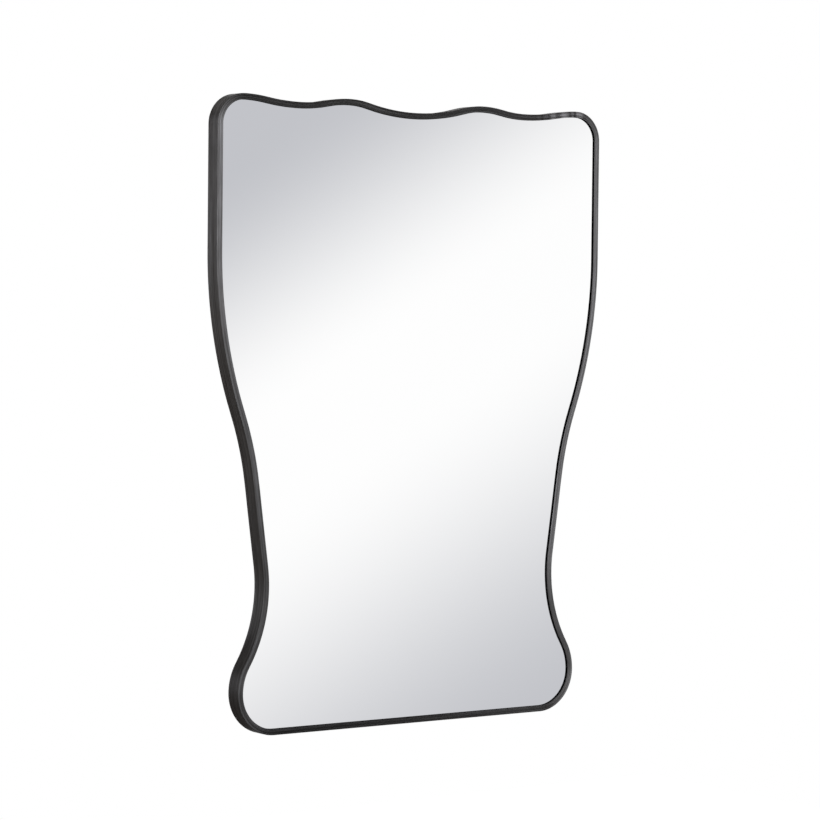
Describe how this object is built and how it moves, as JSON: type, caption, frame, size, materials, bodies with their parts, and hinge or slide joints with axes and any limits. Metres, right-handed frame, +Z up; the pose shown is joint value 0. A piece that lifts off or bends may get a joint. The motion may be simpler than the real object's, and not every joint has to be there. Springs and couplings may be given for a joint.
{
  "type": "wall mirror",
  "caption": "Wall mirror in a narrow dark metal frame with a wavy top, a waist and rounded feet, on a boarded back with D-ring hangers.",
  "frame": {"origin": "on the wall plane, midway between the pivots of the two D-rings, where the wall hooks carry the mirror", "axes": "+Z up, +Y from the mirror into the wall, +X to the right as seen by someone who looks into the mirror"},
  "size_m": [0.6858, 0.0264, 0.9144],
  "materials": {
    "frame_metal": "dark brushed steel, clear satin coat",
    "mirror": "silvered float glass",
    "foam": "closed-cell foam tape",
    "board": "fibreboard, raw",
    "block_rubber": "moulded",
    "clip_steel": "dark satin lacquer, as the frame it is welded to",
    "screw_steel": "zinc plated",
    "hanger_steel": "zinc plated",
    "ring_steel": "zinc plated",
    "bumper_rubber": "moulded"
  },
  "bodies": {
    "mirror": {"frame": "frame_metal", "mirror_glass": "mirror", "foam_tape": "foam", "backing_board": "board", "clip_screws": "screw_steel", "hanger_screws": "screw_steel", "setting_block_right": "block_rubber", "setting_block_left": "block_rubber", "hanger_strap_right": "hanger_steel", "hanger_strap_left": "hanger_steel", "retaining_clip_1": "clip_steel", "retaining_clip_2": "clip_steel", "retaining_clip_3": "clip_steel", "retaining_clip_4": "clip_steel", "retaining_clip_5": "clip_steel", "retaining_clip_6": "clip_steel", "wall_bumper_1": "bumper_rubber", "wall_bumper_2": "bumper_rubber", "wall_bumper_3": "bumper_rubber", "wall_bumper_4": "bumper_rubber"},
    "d_ring_right": {"d_ring_right": "ring_steel"},
    "d_ring_left": {"d_ring_left": "ring_steel"}
  },
  "joints": [
    {"name": "d_ring_right_swing", "type": "hinge", "parent": "mirror", "child": "d_ring_right", "pos_m": [0.2032, -0.00942, 0], "axis": [1, 0, 0], "range_deg": [0, 182]},
    {"name": "d_ring_left_swing", "type": "hinge", "parent": "mirror", "child": "d_ring_left", "pos_m": [-0.2032, -0.00942, 0], "axis": [1, 0, 0], "range_deg": [0, 182]}
  ]
}
